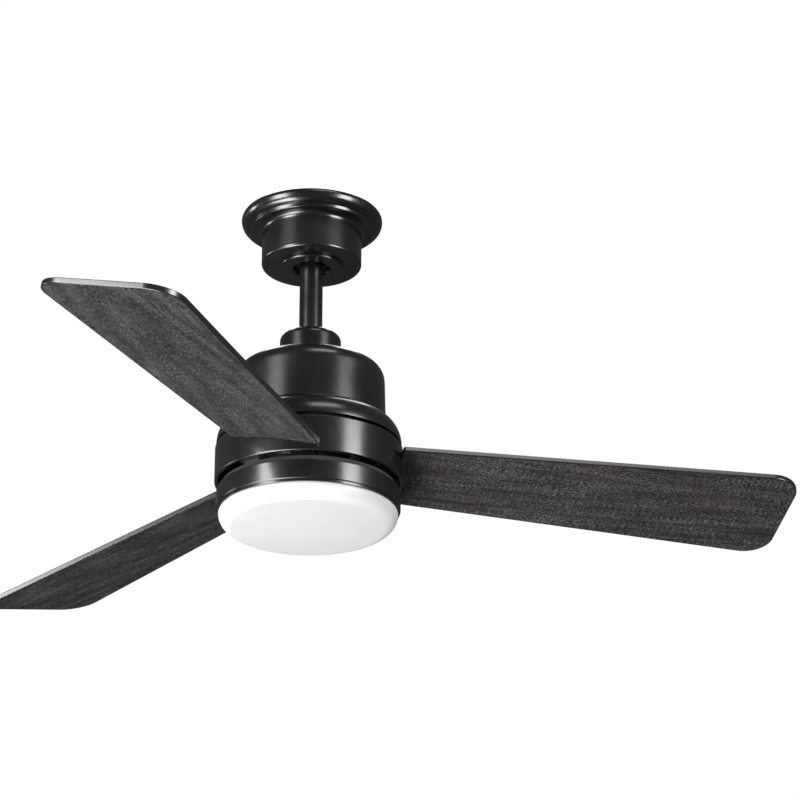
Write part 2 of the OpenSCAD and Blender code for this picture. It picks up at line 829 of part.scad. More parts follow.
// Three ledges in the ring, which hold the lens's lugs.
module lens_catches() {
    ledge = lens_neck_z - lug_t;
    catch_r = ring_r - ring_wall - 0.02;
    color("silver") for (i = [0:2]) rotate([0, 0, i * 120 - lug_arc / 2]) rotate_extrude(angle = lug_arc)
        polygon([[lens_neck_r + 0.6, ledge - 1.7], [catch_r, ledge - 1.7],
            [catch_r, ledge + 8], [catch_r - 1, ledge + 8],
            [catch_r - 1, ledge - 0.3], [lens_neck_r + 0.6, ledge - 0.3]]);
}

// Height of the lens's crowned face at radius r.
function lens_face(r) = lens_bottom + lens_crown * pow(r / lens_r, 2);

// Half outline of the lens, inset by w, up to the height top.
function lens_outline(w, top) = concat(
    [[0, top], [lens_neck_r - w, top], [lens_neck_r - w, lens_top - w], [lens_r - 1 - w, lens_top - w]],
    arc(lens_r - lens_corner, lens_face(lens_r - lens_corner) + lens_corner,
        lens_corner - w, lens_corner - w, 0, -88, 12),
    [for (r = [80, 60, 40, 20, 0]) [r, lens_face(r) + w]]);

module lens() {
    color([0.96, 0.96, 0.96]) {
        difference() {
            rotate_extrude() polygon(lens_outline(0, lens_neck_z));
            rotate_extrude() polygon(lens_outline(lens_wall, lens_neck_z + eps));
        }
        for (i = [0:2]) rotate([0, 0, i * 120 - lug_arc / 2]) rotate_extrude(angle = lug_arc)
            translate([lens_neck_r - 1, lens_neck_z - lug_t]) square([5, lug_t]);
    }
}

// --- assembly ------------------------------------------------------------------------------

hanger_bracket();
hanger_cradle();
ground_screw();
canopy_screws();
receiver();
canopy();
canopy_trim_ring();
hanger_ball();
ball_pin();
ball_set_screw();
downrod();
lead_wires();
wire_nuts();
coupling();
coupling_pin();
coupling_clip();
coupling_screws();
coupling_cover();
motor_housing();
mounting_plate();
plate_screws();
motor_shaft();
stator_core();
stator_windings();
bearing_inner_races();
bearing_outer_races();
upper_ball_cage();
lower_ball_cage();
rotor_upper_shell();
rotor_lower_shell();
rotor_core();
rotor_screws();
reverse_switch();
reverse_slider();
blade_hub();
hub_screws();
blade_band();
band_screws();
blade_holder_1();
blade_holder_2();
blade_holder_3();
holder_screws();
blade_gaskets();
blade_screws();
blade_1();
blade_2();
blade_3();
switch_cup();
capacitor();
led_driver();
lower_plate();
shaft_nuts();
light_ring();
ring_screws();
heat_sink();
led_board();
led_chips();
lens_catches();
lens();
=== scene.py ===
"""Ceiling fan with a light: the finished looks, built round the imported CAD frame.

Sizes are in millimetres, in the CAD frame (origin on the ceiling, +Z up), and become metres in build_mesh().
"""

import json
import math

import bmesh
import bpy
from mathutils import Euler, Matrix, Vector


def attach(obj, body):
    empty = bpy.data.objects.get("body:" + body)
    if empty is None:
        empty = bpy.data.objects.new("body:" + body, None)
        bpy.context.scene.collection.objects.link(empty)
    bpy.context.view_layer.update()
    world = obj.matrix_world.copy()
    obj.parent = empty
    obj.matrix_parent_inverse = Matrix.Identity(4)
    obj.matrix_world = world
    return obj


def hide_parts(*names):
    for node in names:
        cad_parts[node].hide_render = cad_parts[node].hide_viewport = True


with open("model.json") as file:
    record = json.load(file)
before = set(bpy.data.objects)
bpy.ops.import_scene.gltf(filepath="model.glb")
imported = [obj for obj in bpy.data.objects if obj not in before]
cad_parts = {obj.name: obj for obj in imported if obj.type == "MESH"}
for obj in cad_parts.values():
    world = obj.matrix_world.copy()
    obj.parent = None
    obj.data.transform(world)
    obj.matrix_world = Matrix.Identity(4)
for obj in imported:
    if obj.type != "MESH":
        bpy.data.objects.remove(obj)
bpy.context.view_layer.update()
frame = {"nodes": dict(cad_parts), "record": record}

MM = 0.001
TURN_STEPS = 240            # steps round a turned piece
HOLE_STEPS = 48             # steps round a hole
SHARP = math.radians(32)    # edges that turn more than this are shaded as edges
EDGE_R = 0.35               # small radius on the pressed parts' edges

# Canopy and trim ring
CANOPY_R, DRUM_R, CANOPY_H, CANOPY_WALL = 82, 57.9, 63, 1.2
RIM_Z, RIM_CORNER, RIM_TOP_R = -6, 10, 5
STEP_R, STEP_Z, STEP_CORNER, STEP_FILLET = 71.5, -20, 1.5, 5
DRUM_CORNER, DRUM_HOLE_R = 3, 24
KEY_R, KEY_AZ, KEY_TURN, KEY_HALF, KEY_HEAD_R, KEY_END_R = 31, 35, 20, 2.2, 4.3, 2.4
KEY_CUT = (-1, 3)           # the cutter's reach from the drum's underside
TRIM_R, TRIM_H, TRIM_WALL, ROD_HOLE_R = 37, 3.5, 1.2, 22
TRIM_CORNER, TRIM_FLOOR, TRIM_COLLAR = 1.5, 1.1, 0.3

# Rod and coupling cover
ROD_R, ROD_WALL, ROD_TOP, ROD_END = 13.35, 2.4, -22, -177
ROD_PINS = ((-28, 3), (-168, 4))    # height and radius of each cross pin
COVER_TOP, COVER_R, COVER_CORNER, COVER_CORNER_H, COVER_WALL, COVER_PLAY = 150.5, 35, 12, 9, 1.3, 0.5

# Motor housing
HOUSING_TOP, HOUSING_R, HOUSING_WALL, HOUSING_END, SHAFT_HOLE_R = 195, 85.5, 1.3, -289, 12
HOUSING_CORNER, HOUSING_CORNER_H = 10.8, 16.4
SHOULDER_R, SHOULDER_Z, SHOULDER_RX, SHOULDER_RZ, SKIRT_R = 86.6, -288, 22.7, 28, 104.7
SWITCH_Z, SWITCH_HALF_W, SWITCH_HALF_H, SWITCH_CORNER = -225, 2.6, 6.5, 1
SWITCH_CUT = (-100, -70)    # the cutter's reach in the frame that faces the back

# Rotor band
BAND_R, BAND_TOP, BAND_H, BAND_WALL, BAND_CORNER, BAND_FLANGE_R = 106, -293, 42, 1.5, 1.5, 86
BAND_LIP_W, BAND_LIP_T = 3.5, 1

# Blades, in the blade's own frame: X out along it, Y across it, Z off its underside
BLADE_COUNT, FIRST_BLADE, BLADE_Z, BLADE_SIDE = 3, 9.65, -315.6, -1.9
BLADE_PITCH, BLADE_DROOP = 12.45, 2.2
BLADE_ROOT, BLADE_TIP, BLADE_ROOT_W, BLADE_TIP_W = 98.5, 555.9, 106.8, 157.4
BLADE_T, TIP_CORNER_R, TONGUE_IN, TONGUE_HALF = 6.3, 32, 58, 34
BLADE_EDGE_R, BLADE_HOLE_R, ROOT_CORNER = 1.1, 2.4, 2
BLADE_SCREWS = ((63, 0), (79, -20), (79, 20))
SLOT_HALF, SLOT_PLAY, SLOT_CORNER, SLOT_CUT = 43.5, 0.8, 1.2, (88, 120)

# Light kit
RING_R, RING_TOP, RING_H, RING_WALL, NECK_R, NECK_Z = 103.5, -345, 22, 1.5, 99, -339
RING_LOW = RING_TOP - RING_H
RING_EDGE, RING_CORNER, RING_HOLE_R = 1, 1.5, 10
LIP_R, LIP_T, LIP_DROP = RING_R - 1.6, 0.8, 3
LENS_R, LENS_TOP, LENS_DROP, LENS_WALL = 100.6, RING_LOW - 1.5, 21.5, 2.4
LENS_CORNER, LENS_CROWN, LENS_NECK_R, LENS_NECK_Z = 16, 2, 96, -357
LENS_BOTTOM = RING_LOW - LENS_DROP
LUG_COUNT, LUG_T, LUG_ARC, LUG_W = 3, 1.5, 16, 4


# --- shapes ----------------------------------------------------------------------------------


def arc(cx, cy, rx, ry, start, end, steps=14):
    """Points along an elliptical arc, between two angles in degrees."""
    angles = [math.radians(start + (end - start) * i / steps) for i in range(steps + 1)]
    return [(cx + rx * math.cos(a), cy + ry * math.sin(a)) for a in angles]


def soften(outline, radius):
    """The closed outline with each sharp corner rounded by a small curve."""
    points = [Vector(p) for i, p in enumerate(outline) if (Vector(p) - Vector(outline[i - 1])).length > 1e-4]
    made = []
    for i, here in enumerate(points):
        before, after = points[i - 1] - here, points[(i + 1) % len(points)] - here
        turn = math.pi - before.angle(after)
        if turn < math.radians(25):
            made.append(here)
            continue
        reach = min(radius, 0.45 * before.length, 0.45 * after.length)
        a, b = here + before.normalized() * reach, here + after.normalized() * reach
        made += [a.lerp(here, t).lerp(here.lerp(b, t), t) for t in (0, 0.25, 0.5, 0.75, 1)]
    return made


def new_object(name, mesh):
    """An object in the scene for this mesh."""
    obj = bpy.data.objects.new(name, mesh)
    bpy.context.scene.collection.objects.link(obj)
    return obj


def build_mesh(name, bm):
    """Closes off a bmesh made in millimetres: metres, outward normals, edges shaded by angle."""
    bmesh.ops.remove_doubles(bm, verts=bm.verts, dist=1e-4)
    bmesh.ops.recalc_face_normals(bm, faces=bm.faces)
    bmesh.ops.scale(bm, vec=(MM, MM, MM), verts=bm.verts)
    shade_by_angle(bm)
    mesh = bpy.data.meshes.new(name)
    bm.to_mesh(mesh)
    bm.free()
    return mesh


def shade_by_angle(bm):
    """Smooth faces, with the edges that turn sharply left as edges."""
    for face in bm.faces:
        face.smooth = True
    for edge in bm.edges:
        edge.smooth = len(edge.link_faces) == 2 and edge.calc_face_angle(0) < SHARP


def revolve(bm, outline, start=0, end=360, steps=TURN_STEPS):
    """Adds a turned solid to bm: the closed half outline of (radius, height) points swept round Z."""
    whole = end - start >= 360
    columns = steps if whole else steps + 1
    rings = []
    for i in range(columns):
        a = math.radians(start + (end - start) * i / steps)
        rings.append([bm.verts.new((p[0] * math.cos(a), p[0] * math.sin(a), p[1])) for p in outline])
    count = len(outline)
    for i in range(steps):
        here, there = rings[i], rings[(i + 1) % columns]
        for k in range(count):
            m = (k + 1) % count
            corners = [here[k], there[k], there[m], here[m]]
            if outline[k][0] < 1e-6 and outline[m][0] < 1e-6:
                continue
            bm.faces.new(corners)
    if not whole:
        bm.faces.new(rings[0])
        bm.faces.new(rings[-1])


def extrude(bm, outline, low, high, place=Matrix.Identity(4)):
    """Adds a prism to bm: the closed outline in X and Y, between two heights, moved by place."""
    rows = [[bm.verts.new(place @ Vector((p[0], p[1], z))) for p in outline] for z in (low, high)]
    count = len(outline)
    for k in range(count):
        m = (k + 1) % count
        bm.faces.new([rows[0][k], rows[0][m], rows[1][m], rows[1][k]])
    bm.faces.new(rows[0])
    bm.faces.new(rows[1])


def turned(name, outline, edge_r=EDGE_R):
    """A turned piece with softened edges."""
    bm = bmesh.new()
    revolve(bm, soften(outline, edge_r))
    return new_object(name, build_mesh(name, bm))


def shell(outline_at, wall):
    """The closed half outline of a pressed shell: its outer outline and the same one inset by the wall."""
    return outline_at(0) + outline_at(wall)[::-1]


def cut(obj, cutter_mesh):
    """Cuts a mesh away from obj, and shades the new edges."""
    cutter = new_object("cutter", cutter_mesh)
    step = obj.modifiers.new("cut", "BOOLEAN")
    step.operation, step.solver, step.object = "DIFFERENCE", "EXACT", cutter
    evaluated = obj.evaluated_get(bpy.context.evaluated_depsgraph_get())
    mesh = bpy.data.meshes.new_from_object(evaluated)
    obj.modifiers.clear()
    obj.data = mesh
    bpy.data.objects.remove(cutter)
    bm = bmesh.new()
    bm.from_mesh(mesh)
    shade_by_angle(bm)
    bm.to_mesh(mesh)
    bm.free()


def even_shading(obj):
    """Shades long flat stretches as flat, beside their small rounded edges."""
    step = obj.modifiers.new("even shading", "WEIGHTED_NORMAL")
    step.mode, step.weight, step.keep_sharp = "FACE_AREA", 50, True


def rounded_box(half_w, low, high, radius):
    """Outline of a rectangle with round corners, |x| up to half_w and y from low to high."""
    corners = ((1, high, 0), (-1, high, 90), (-1, low, 180), (1, low, 270))
    points = []
    for side, edge, start in corners:
        inward = radius if edge == low else -radius
        points += arc(side * (half_w - radius), edge + inward, radius, radius, start, start + 90, 5)
    return points


def blade_frame(i):
    """The frame of blade i, in millimetres."""
    return (Matrix.Translation((0, 0, BLADE_Z))
            @ Matrix.Rotation(math.radians(FIRST_BLADE + (i - 1) * 360 / BLADE_COUNT), 4, "Z")
            @ Matrix.Rotation(math.radians(BLADE_DROOP), 4, "Y")
            @ Matrix.Rotation(math.radians(-BLADE_PITCH), 4, "X")
            @ Matrix.Translation((0, BLADE_SIDE, 0)))


# --- outlines of the turned pieces -----------------------------------------------------------


def canopy_outline(inset):
    """The rolled rim, the step, the fillet and the drum, out to the hole for the rod."""
    rim_r, drum_corner = RIM_CORNER - inset, DRUM_CORNER - inset
    step_corner, fillet = STEP_CORNER - inset, STEP_FILLET + inset
    return (arc(CANOPY_R - RIM_TOP_R, RIM_Z, RIM_TOP_R - inset, -RIM_Z - inset, 90, 0)
            + arc(CANOPY_R - RIM_CORNER, RIM_Z, rim_r, rim_r, 0, -90, 20)
            + arc(STEP_R - STEP_CORNER, STEP_Z + STEP_CORNER, step_corner, step_corner, 0, -90, 8)
            + arc(DRUM_R + STEP_FILLET, STEP_Z - STEP_FILLET, fillet, fillet, 90, 180)
            + arc(DRUM_R - DRUM_CORNER, DRUM_CORNER - CANOPY_H, drum_corner, drum_corner, 0, -90, 10)
            + [(DRUM_HOLE_R, inset - CANOPY_H)])


def trim_outline():
    """A shallow cap with a collar round the rod's hole."""
    top, low = TRIM_WALL - CANOPY_H + TRIM_COLLAR, -CANOPY_H - TRIM_H
    floor = low + TRIM_FLOOR
    return ([(ROD_HOLE_R, top), (ROD_HOLE_R + TRIM_WALL, top), (ROD_HOLE_R + TRIM_WALL, floor),
             (TRIM_R - TRIM_WALL, floor), (TRIM_R - TRIM_WALL, -CANOPY_H), (TRIM_R, -CANOPY_H)]
            + arc(TRIM_R - TRIM_CORNER, low + TRIM_CORNER, TRIM_CORNER, TRIM_CORNER, 0, -90, 8)
            + [(ROD_HOLE_R, low)])


def rod_outline():
    """A plain tube."""
    bore = ROD_R - ROD_WALL
    return [(bore, ROD_TOP), (ROD_R, ROD_TOP), (ROD_R, ROD_END), (bore, ROD_END)]


def cover_outline(inset):
    """A cup that stands on the housing, open round the rod."""
    return ([(ROD_R + COVER_PLAY, -COVER_TOP - inset)]
            + arc(COVER_R - COVER_CORNER, -COVER_TOP - COVER_CORNER_H,
                  COVER_CORNER - inset, COVER_CORNER_H - inset, 90, 0)
            + [(COVER_R - inset, -HOUSING_TOP)])


def housing_outline(inset):
    """A flat top with a rounded corner, then the drum and its flared shoulder."""
    shoulder_x = SHOULDER_RX - inset
    start = math.degrees(math.acos((SHOULDER_R - SKIRT_R + SHOULDER_RX) / shoulder_x))
    return ([(SHAFT_HOLE_R, -HOUSING_TOP - inset)]
            + arc(HOUSING_R - HOUSING_CORNER, -HOUSING_TOP - HOUSING_CORNER_H,
                  HOUSING_CORNER - inset, HOUSING_CORNER_H - inset, 90, 0, 20)
            + arc(SKIRT_R - SHOULDER_RX, SHOULDER_Z, shoulder_x, SHOULDER_RZ - inset, start, 0, 24)
            + [(SKIRT_R - inset, HOUSING_END)])


def band_outline():
    """The band's wall, with its flange at the top and a small lip at the bottom."""
    low = BAND_TOP - BAND_H
    rim = BAND_R - BAND_CORNER
    return ([(BAND_FLANGE_R, BAND_TOP)]
            + arc(rim, BAND_TOP - BAND_CORNER, BAND_CORNER, BAND_CORNER, 90, 0, 8)
            + arc(rim, low + BAND_CORNER, BAND_CORNER, BAND_CORNER, 0, -90, 8)
            + [(BAND_R - BAND_LIP_W, low), (BAND_R - BAND_LIP_W, low + BAND_LIP_T),
               (BAND_R - BAND_WALL, low + BAND_LIP_T), (BAND_R - BAND_WALL, BAND_TOP - BAND_WALL),
               (BAND_FLANGE_R, BAND_TOP - BAND_WALL)])


def ring_outline():
    """A pan with a neck that reaches up inside the band, and a lip round the lens."""
    lip_in, lip_low, lip_top = LIP_R - LIP_T, RING_LOW - LIP_DROP, RING_LOW + 0.7
    return ([(RING_HOLE_R, RING_TOP - RING_WALL), (RING_HOLE_R, RING_TOP), (NECK_R - RING_WALL, RING_TOP),
             (NECK_R - RING_WALL, NECK_Z), (NECK_R, NECK_Z), (NECK_R, RING_TOP)]
            + arc(RING_R - RING_EDGE, RING_TOP - RING_EDGE, RING_EDGE, RING_EDGE, 90, 0, 6)
            + arc(RING_R - RING_CORNER, RING_LOW + RING_CORNER, RING_CORNER, RING_CORNER, 0, -90, 8)
            + [(LIP_R, RING_LOW), (LIP_R, lip_low), (lip_in, lip_low), (lip_in, lip_top),
               (RING_R - RING_WALL, lip_top), (RING_R - RING_WALL, RING_TOP - RING_WALL)])


def lens_face(r):
    """Height of the lens's crowned face at radius r."""
    return LENS_BOTTOM + LENS_CROWN * (r / LENS_R) ** 2


def lens_outline(inset):
    """The neck, the side, the rounded rim and the crowned face."""
    corner, rim = LENS_CORNER - inset, LENS_R - LENS_CORNER
    return ([(LENS_NECK_R - inset, LENS_NECK_Z), (LENS_NECK_R - inset, LENS_TOP - inset),
             (LENS_R - 1 - inset, LENS_TOP - inset)]
            + arc(rim, lens_face(rim) + LENS_CORNER, corner, corner, 0, -88, 24)
            + [(r, lens_face(r) + inset) for r in range(80, -1, -4)])


def blade_outline():
    """Plan of a blade: a square root with a tongue, and a tip with two round corners."""
    root_half, tip_half = BLADE_ROOT_W / 2, BLADE_TIP_W / 2
    length = BLADE_TIP - BLADE_ROOT
    flare = math.atan((tip_half - root_half) / length)
    corner_t = tip_half - (tip_half - root_half) * TIP_CORNER_R / length - TIP_CORNER_R / math.cos(flare)
    upper = ([(TONGUE_IN, TONGUE_HALF), (BLADE_ROOT, TONGUE_HALF), (BLADE_ROOT, root_half - ROOT_CORNER),
              (BLADE_ROOT + ROOT_CORNER, root_half)]
             + arc(BLADE_TIP - TIP_CORNER_R, corner_t, TIP_CORNER_R, TIP_CORNER_R,
                   90 + math.degrees(flare), 0, 16))
    return upper + [(x, -y) for x, y in upper[::-1]]


def inset_outline(outline, distance):
    """The closed outline moved inwards by a distance; it runs clockwise."""
    made = []
    for i, point in enumerate(outline):
        here = Vector(point)
        back = (here - Vector(outline[i - 1])).normalized()
        ahead = (Vector(outline[(i + 1) % len(outline)]) - here).normalized()
        inward = Vector((back.y, -back.x)) + Vector((ahead.y, -ahead.x))
        inward.normalize()
        lean = max(inward.dot(Vector((ahead.y, -ahead.x))), 0.5)
        made.append(here + inward * (distance / lean))
    return made


# --- materials -------------------------------------------------------------------------------


class Paint:
    """A node material in the making. Its methods add a node and return the output to use next."""

    def __init__(self, name, **values):
        self.material = bpy.data.materials.new(name)
        self.material.use_nodes = True
        self.tree = self.material.node_tree
        self.shader = self.tree.nodes["Principled BSDF"]
        for socket, value in values.items():
            self.shader.inputs[socket.replace("_", " ")].default_value = value

    def node(self, kind, settings=(), **inputs):
        node = self.tree.nodes.new("ShaderNode" + kind)
        for key, value in dict(settings).items():
            setattr(node, key, value)
        for key, value in inputs.items():
            self.plug(node.inputs[key.replace("_", " ")], value)
        return node

    def plug(self, socket, value):
        if isinstance(value, bpy.types.NodeSocket):
            self.tree.links.new(value, socket)
        else:
            socket.default_value = value

    def place(self, stretch=(1, 1, 1), shift=(0, 0, 0), own=None):
        """Coordinates in metres, moved by shift, then stretched: the frame's, or an attribute of the mesh."""
        if own:
            coords = self.node("Attribute", {"attribute_name": own}).outputs["Vector"]
        else:
            coords = self.node("TexCoord").outputs["Object"]
        moved = self.node("VectorMath", {"operation": "ADD"})
        self.plug(moved.inputs[0], coords)
        self.plug(moved.inputs[1], shift)
        made = self.node("VectorMath", {"operation": "MULTIPLY"})
        self.plug(made.inputs[0], moved.outputs[0])
        self.plug(made.inputs[1], stretch)
        return made.outputs[0]

    def noise(self, vector, scale, detail, roughness):
        return self.node("TexNoise", Vector=vector, Scale=scale, Detail=detail,
                         Roughness=roughness).outputs["Fac"]

    def calc(self, operation, a, b=0.0):
        made = self.node("Math", {"operation": operation})
        self.plug(made.inputs[0], a)
        self.plug(made.inputs[1], b)
        return made.outputs[0]

    def band(self, value, low, high, out_low=0.0, out_high=1.0):
        """The value's stretch from low to high, mapped on to another stretch and held at its ends."""
        made = self.node("MapRange", {"clamp": True}, Value=value)
        numbers = {"From Min": low, "From Max": high, "To Min": out_low, "To Max": out_high}
        for name, number in numbers.items():
            made.inputs[name].default_value = number
        return made.outputs["Result"]

    def ramp(self, value, *stops):
        """Colours along a value; each stop is (position, red, green, blue)."""
        made = self.node("ValToRGB", Fac=value)
        elements = made.color_ramp.elements
        while len(elements) < len(stops):
            elements.new(1.0)
        for element, stop in zip(elements, stops):
            element.position, element.color = stop[0], (*stop[1:], 1)
        return made.outputs["Color"]

    def mix(self, amount, a, b, blend="MIX"):
        made = self.node("Mix", {"data_type": "RGBA", "blend_type": blend})
        self.plug(made.inputs[0], amount)
        self.plug(made.inputs[6], a)
        self.plug(made.inputs[7], b)
        return made.outputs[2]

    def edges(self):
        """1 on outward edges, 0 elsewhere."""
        return self.band(self.node("NewGeometry").outputs["Pointiness"], 0.53, 0.62)

    def finish(self, colour, roughness, height=None, strength=0.2, depth=0.0002):
        """Plugs in the colour and the roughness, and a bump where a height is given."""
        self.plug(self.shader.inputs["Base Color"], colour)
        self.plug(self.shader.inputs["Roughness"], roughness)
        if height is not None:
            bump = self.node("Bump", Height=height, Strength=strength, Distance=depth)
            self.plug(self.shader.inputs["Normal"], bump.outputs["Normal"])
        return self.material


def grey(level):
    return (level, level, level)


def enamel(name, matt_from=None):
    """Satin black enamel: orange peel, dust and a painted highlight on its outward edges. It is matt above a
    height in metres.
    """
    p = Paint(name, IOR=1.8)
    peel = p.noise(p.place(), 900, 2, 0.5)
    cloud = p.noise(p.place(), 22, 3, 0.6)
    specks = p.band(p.noise(p.place(), 2600, 1, 0.5), 0.66, 0.74)
    colour = p.ramp(cloud, (0.3, *grey(0.0028)), (0.7, *grey(0.0058)))
    colour = p.mix(p.calc("MULTIPLY", specks, 0.35), colour, (*grey(0.02), 1))
    # Painted highlight: outward edges are painted a lighter grey, standing in for the shine on rounded edges.
    colour = p.mix(p.calc("MULTIPLY", p.edges(), 0.25), colour, (*grey(0.03), 1))
    roughness = p.band(cloud, 0.3, 0.7, 0.205, 0.275)
    if matt_from is not None:
        height = p.node("SeparateXYZ", Vector=p.place()).outputs["Z"]
        roughness = p.calc("MAXIMUM", roughness, p.band(height, matt_from, matt_from + 0.0005, 0, 0.85))
    return p.finish(colour, roughness, peel, 0.05, 0.0001)


def laminate(name, shift, lightness, brown, wear):
    """Charcoal weathered woodgrain: fibres, faint cathedral grain, saw marks and pale grit.

    shift moves the pattern, lightness scales its greys, brown warms it and wear adds pale grit.
    """
    p = Paint(name, IOR=1.3)

    def layer(stretch, detail, roughness):
        return p.noise(p.place(stretch, shift, "grain"), 1, detail, roughness)

    wander = p.calc("MULTIPLY", p.calc("SUBTRACT", layer((3.5, 22, 1), 4, 0.6), 0.5), 0.045)
    split = p.node("SeparateXYZ", Vector=p.place((0.07, 1, 1), shift, "grain"))
    across = p.calc("ADD", split.outputs["Y"], wander)
    along = split.outputs["X"]
    rings = p.calc("SQRT", p.calc("ADD", p.calc("POWER", along, 2), p.calc("POWER", across, 2)))
    cathedral = p.calc("SINE", p.calc("MULTIPLY", rings, 620))
    fibre = layer((15, 640, 1), 6, 0.76)
    grit = layer((340, 1000, 1), 3, 0.8)
    saw = layer((760, 40, 1), 3, 0.7)
    blotch = layer((6, 22, 1), 4, 0.6)
    flecks = p.band(layer((250, 850, 1), 3, 0.75), 0.54, 0.60)
    patches = p.band(layer((8, 60, 1), 3, 0.6), 0.25, 0.70)

    tone = p.calc("ADD", p.calc("MULTIPLY", fibre, 0.50), p.calc("MULTIPLY", cathedral, 0.022))
    tone = p.calc("ADD", tone, p.calc("MULTIPLY", grit, 0.56))
    tone = p.calc("ADD", tone, p.calc("MULTIPLY", saw, 0.12))
    tone = p.calc("ADD", tone, p.calc("MULTIPLY", blotch, 0.09))
    colour = p.ramp(tone, (0.56, *grey(0.003 * lightness)), (0.64, *grey(0.030 * lightness)),
                    (0.71, *grey(0.100 * lightness)), (0.79, *grey(0.30 * lightness)))
    warm = p.band(blotch, 0.35, 0.65, 0.3 * brown, brown)
    colour = p.mix(warm, colour, (1.0, 0.86, 0.76, 1), "MULTIPLY")
    cracks = p.band(layer((1100, 34, 1), 2, 0.6), 0.60, 0.66)
    grit_lines = p.calc("MAXIMUM", flecks, p.calc("MULTIPLY", cracks, 0.7))
    pale = p.calc("MULTIPLY", grit_lines, p.calc("MULTIPLY", patches, wear))
    colour = p.mix(pale, colour, (*grey(0.52 * lightness), 1))
    roughness = p.band(tone, 0.5, 0.75, 0.50, 0.62)
    relief = p.calc("ADD", fibre, p.calc("MULTIPLY", grit, 0.6))
    return p.finish(colour, roughness, relief, 0.35, 0.0002)


def blade_edge():
    """The black foil round the blade's edge, a little glossier than its face."""
    p = Paint("blade_edge", IOR=1.8)
    streak = p.noise(p.place((12, 60, 420), own="grain"), 1, 3, 0.5)
    colour = p.ramp(streak, (0.3, *grey(0.004)), (0.7, *grey(0.010)))
    return p.finish(colour, p.band(streak, 0.3, 0.7, 0.24, 0.27), streak, 0.03, 0.0001)


def opal():
    """Opal white acrylic, matt outside, with a soft depth and faint moulding cloud."""
    p = Paint("opal_acrylic", IOR=1.49, Subsurface_Weight=0.25, Subsurface_Scale=0.006,
              Subsurface_Radius=(1.0, 0.95, 0.9))
    cloud = p.noise(p.place(), 14, 2, 0.5)
    frost = p.noise(p.place(), 1900, 2, 0.5)
    colour = p.ramp(cloud, (0.3, *grey(0.57)), (0.7, *grey(0.61)))
    return p.finish(colour, p.band(frost, 0.3, 0.7, 0.34, 0.42), frost, 0.04, 0.00005)


def metal(name, colour, rough, lines=(1, 1, 1), scale=60.0, tarnish=0.75, relief=0.1):
    """Bare or plated metal: brushed or cast lines by their stretch, a darker tarnish in patches, and a
    painted highlight on outward edges.
    """
    p = Paint(name, Metallic=1.0)
    grain = p.noise(p.place(lines), scale, 4, 0.6)
    cloud = p.noise(p.place(), 35, 3, 0.6)
    dark = tuple(c * tarnish for c in colour)
    tone = p.ramp(cloud, (0.35, *dark), (0.65, *colour))
    # Painted highlight: outward edges are painted lighter than the metal.
    tone = p.mix(p.calc("MULTIPLY", p.edges(), 0.4), tone, (*(min(1.0, c * 1.3) for c in colour), 1))
    return p.finish(tone, p.band(grain, 0.3, 0.7, rough - 0.07, rough + 0.09), grain, relief, 0.0002)


def plastic(name, colour, rough=0.42, gloss=1.5, grain=700.0):
    """Moulded plastic: a fine spark texture and a slight cloud in the colour."""
    p = Paint(name, IOR=gloss)
    spark = p.noise(p.place(), grain, 2, 0.6)
    cloud = p.noise(p.place(), 18, 2, 0.5)
    low, high = (tuple(c * k for c in colour) for k in (0.88, 1.08))
    tone = p.ramp(cloud, (0.35, *low), (0.65, *(min(1.0, c) for c in high)))
    return p.finish(tone, p.band(spark, 0.3, 0.7, rough - 0.05, rough + 0.07), spark, 0.12, 0.0001)


def laminations():
    """Stacked electrical steel: fine level lines, with a touch of rust between the sheets."""
    p = Paint("laminations", Metallic=0.8)
    sheets = p.noise(p.place((4, 4, 2200)), 1, 1, 0.5)
    rust = p.band(p.noise(p.place(), 90, 4, 0.6), 0.55, 0.75)
    tone = p.ramp(sheets, (0.35, 0.07, 0.075, 0.085), (0.65, 0.22, 0.23, 0.25))
    tone = p.mix(p.calc("MULTIPLY", rust, 0.4), tone, (0.16, 0.06, 0.03, 1))
    return p.finish(tone, p.band(sheets, 0.3, 0.7, 0.5, 0.35), sheets, 0.4, 0.0003)


def windings():
    """Enamelled copper wire, laid side by side."""
    p = Paint("windings", Metallic=0.9, Coat_Weight=0.6)
    wires = p.calc("SINE", p.calc("MULTIPLY", p.node("SeparateXYZ", Vector=p.place()).outputs["Z"], 7800))
    cloud = p.noise(p.place(), 120, 3, 0.5)
    tone = p.ramp(cloud, (0.3, 0.36, 0.12, 0.045), (0.7, 0.62, 0.25, 0.11))
    return p.finish(tone, p.band(wires, -1, 1, 0.42, 0.26), wires, 0.6, 0.0004)


def phosphor():
    """LED chips: a yellow phosphor square in a white body."""
    p = Paint("phosphor", IOR=1.5, Coat_Weight=0.5)
    grit = p.noise(p.place(), 1500, 3, 0.6)
    tone = p.ramp(grit, (0.3, 0.78, 0.58, 0.13), (0.7, 0.92, 0.76, 0.24))
    return p.finish(tone, p.band(grit, 0.3, 0.7, 0.3, 0.45), grit, 0.2, 0.0001)


satin_black = enamel("satin_black")
ring_black = enamel("ring_black", matt_from=RING_TOP / 1000)
edge_foil = blade_edge()
opal_acrylic = opal()

